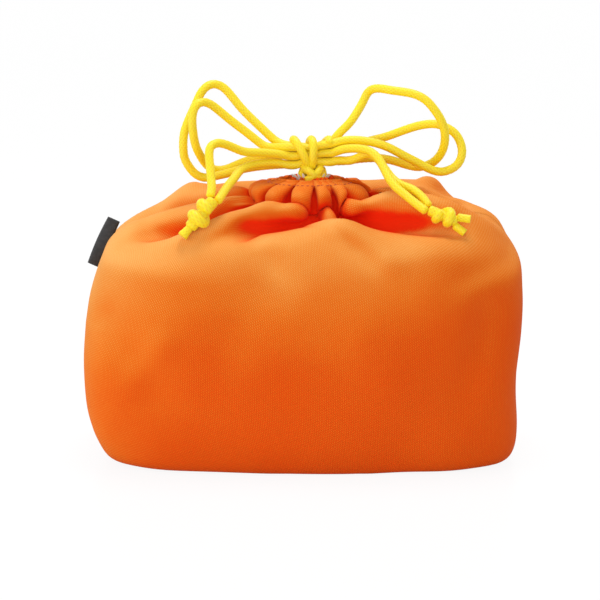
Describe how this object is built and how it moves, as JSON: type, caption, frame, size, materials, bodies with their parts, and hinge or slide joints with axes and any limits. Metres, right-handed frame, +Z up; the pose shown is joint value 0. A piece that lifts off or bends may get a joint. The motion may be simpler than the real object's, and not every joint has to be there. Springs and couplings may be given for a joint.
{
  "type": "drawstring lunch bag",
  "caption": "Soft box-shaped drawstring lunch bag in orange fabric with a pale lining, gathered shut by yellow cords tied in a bow, and a black label in the side seam.",
  "frame": {"origin": "middle of the base, on the surface that the bag stands on", "axes": "+X along the longest side towards the viewer's right, -Y towards the front, +Z up through the mouth"},
  "size_m": [0.2068, 0.1164, 0.175],
  "materials": {
    "outer_fabric": "brushed microfibre twill",
    "lining": "plain woven lining",
    "cord": "braided polyester cord",
    "label": "woven ribbon, folded, without text"
  },
  "bodies": {
    "bag": {"front_panel": "outer_fabric", "back_panel": "outer_fabric", "front_lining": "lining", "back_lining": "lining", "front_casing": "outer_fabric", "back_casing": "outer_fabric", "left_drawstring": "cord", "right_drawstring": "cord"},
    "bow": {"bow_half_knot": "cord", "bow_knot": "cord", "bow_wrap": "cord"},
    "left_loops": {"left_loop_high": "cord", "left_loop_low": "cord"},
    "right_loops": {"right_loop_high": "cord", "right_loop_low": "cord"},
    "left_tails": {"left_tail_high": "cord", "left_tail_low": "cord", "left_end_knot": "cord", "left_cord_tip": "cord"},
    "right_tails": {"right_tail_high": "cord", "right_tail_low": "cord", "right_end_knot": "cord", "right_cord_tip_high": "cord", "right_cord_tip_low": "cord"},
    "label": {"label_tab": "label"}
  },
  "joints": [
    {"name": "bow_lift", "type": "slide", "parent": "bag", "child": "bow", "axis": [0, 0, 1], "range_m": [0, 0.012], "deforming": ["left_drawstring", "right_drawstring"]},
    {"name": "left_loop_lift", "type": "hinge", "parent": "bow", "child": "left_loops", "pos_m": [-0.0036, 0.002, 0.1479], "axis": [0, 1, 0], "range_deg": [0, 35]},
    {"name": "right_loop_lift", "type": "hinge", "parent": "bow", "child": "right_loops", "pos_m": [0.0116, 0.002, 0.1494], "axis": [0, -1, 0], "range_deg": [0, 35]},
    {"name": "left_tail_lift", "type": "hinge", "parent": "bow", "child": "left_tails", "pos_m": [-0.0036, -0.00415, 0.1438], "axis": [-1, 0, 0], "range_deg": [0, 45]},
    {"name": "right_tail_lift", "type": "hinge", "parent": "bow", "child": "right_tails", "pos_m": [0.0116, -0.00415, 0.1453], "axis": [-1, 0, 0], "range_deg": [0, 45]},
    {"name": "label_flap", "type": "hinge", "parent": "bag", "child": "label", "pos_m": [-0.09153, 0, 0.09929], "axis": [0.4153, 0, 0.9097], "range_deg": [-60, 60]}
  ]
}
